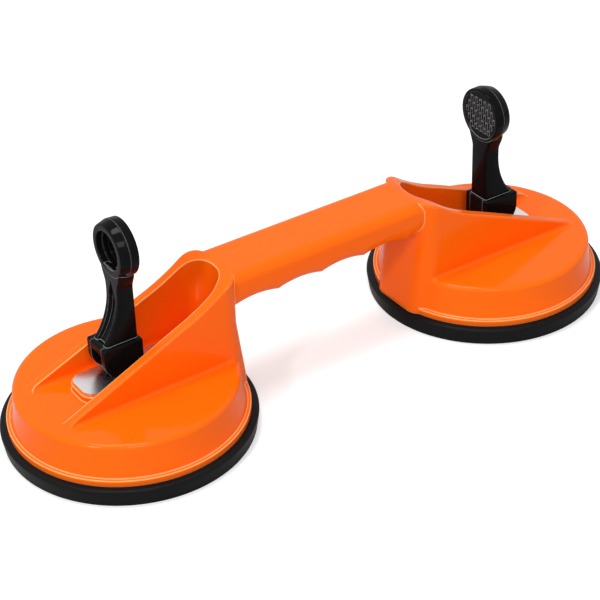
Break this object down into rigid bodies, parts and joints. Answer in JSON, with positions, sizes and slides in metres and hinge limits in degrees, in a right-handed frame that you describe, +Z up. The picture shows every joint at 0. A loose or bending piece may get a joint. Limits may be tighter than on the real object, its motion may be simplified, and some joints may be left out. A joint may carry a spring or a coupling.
{
  "type": "floor tile suction lifter",
  "caption": "Two-cup suction lifter: a finger-waved bridge handle joins two round rubber pads, each with a fold-down toggle lever that pulls the vacuum.",
  "frame": {"origin": "on the floor, midway between the two cups' axes", "axes": "+X along the handle, +Z up from the pads' feet; the fingers' waves start nearer the -X cup"},
  "size_m": [0.33, 0.1206, 0.1108],
  "materials": {
    "orange_plastic": "glossy moulded ABS",
    "black_plastic": "glossy moulded nylon",
    "rubber": "matte moulded rubber",
    "plate_steel": "bright zinc-plated steel",
    "steel": "turned steel",
    "spring_steel": "spring wire"
  },
  "bodies": {
    "frame": {"housing": "orange_plastic", "rubber_pad_left": "rubber", "cam_plate_left": "plate_steel", "release_spring_left": "spring_steel", "rubber_pad_right": "rubber", "cam_plate_right": "plate_steel", "release_spring_right": "spring_steel"},
    "left_stem": {"stem_left": "steel", "pad_insert_left": "steel"},
    "left_lever": {"lever_left": "black_plastic", "pivot_pin_left": "steel"},
    "right_stem": {"stem_right": "steel", "pad_insert_right": "steel"},
    "right_lever": {"lever_right": "black_plastic", "pivot_pin_right": "steel"}
  },
  "joints": [
    {"name": "left_pad_pull", "type": "slide", "parent": "frame", "child": "left_stem", "axis": [0, 0, 1], "range_m": [0, 0.0043], "deforming": ["rubber_pad_left", "release_spring_left"]},
    {"name": "left_lever_fold", "type": "hinge", "parent": "left_stem", "child": "left_lever", "pos_m": [-0.1047, 0, 0.0427], "axis": [0, -1, 0], "range_deg": [0, 90]},
    {"name": "right_pad_pull", "type": "slide", "parent": "frame", "child": "right_stem", "axis": [0, 0, 1], "range_m": [0, 0.0043], "deforming": ["rubber_pad_right", "release_spring_right"]},
    {"name": "right_lever_fold", "type": "hinge", "parent": "right_stem", "child": "right_lever", "pos_m": [0.1047, 0, 0.0427], "axis": [0, 1, 0], "range_deg": [0, 90]}
  ],
  "couplings": [
    {"joint": "left_lever_fold", "follows": "left_pad_pull", "rad_per_m": 365.3},
    {"joint": "right_lever_fold", "follows": "right_pad_pull", "rad_per_m": 365.3}
  ]
}
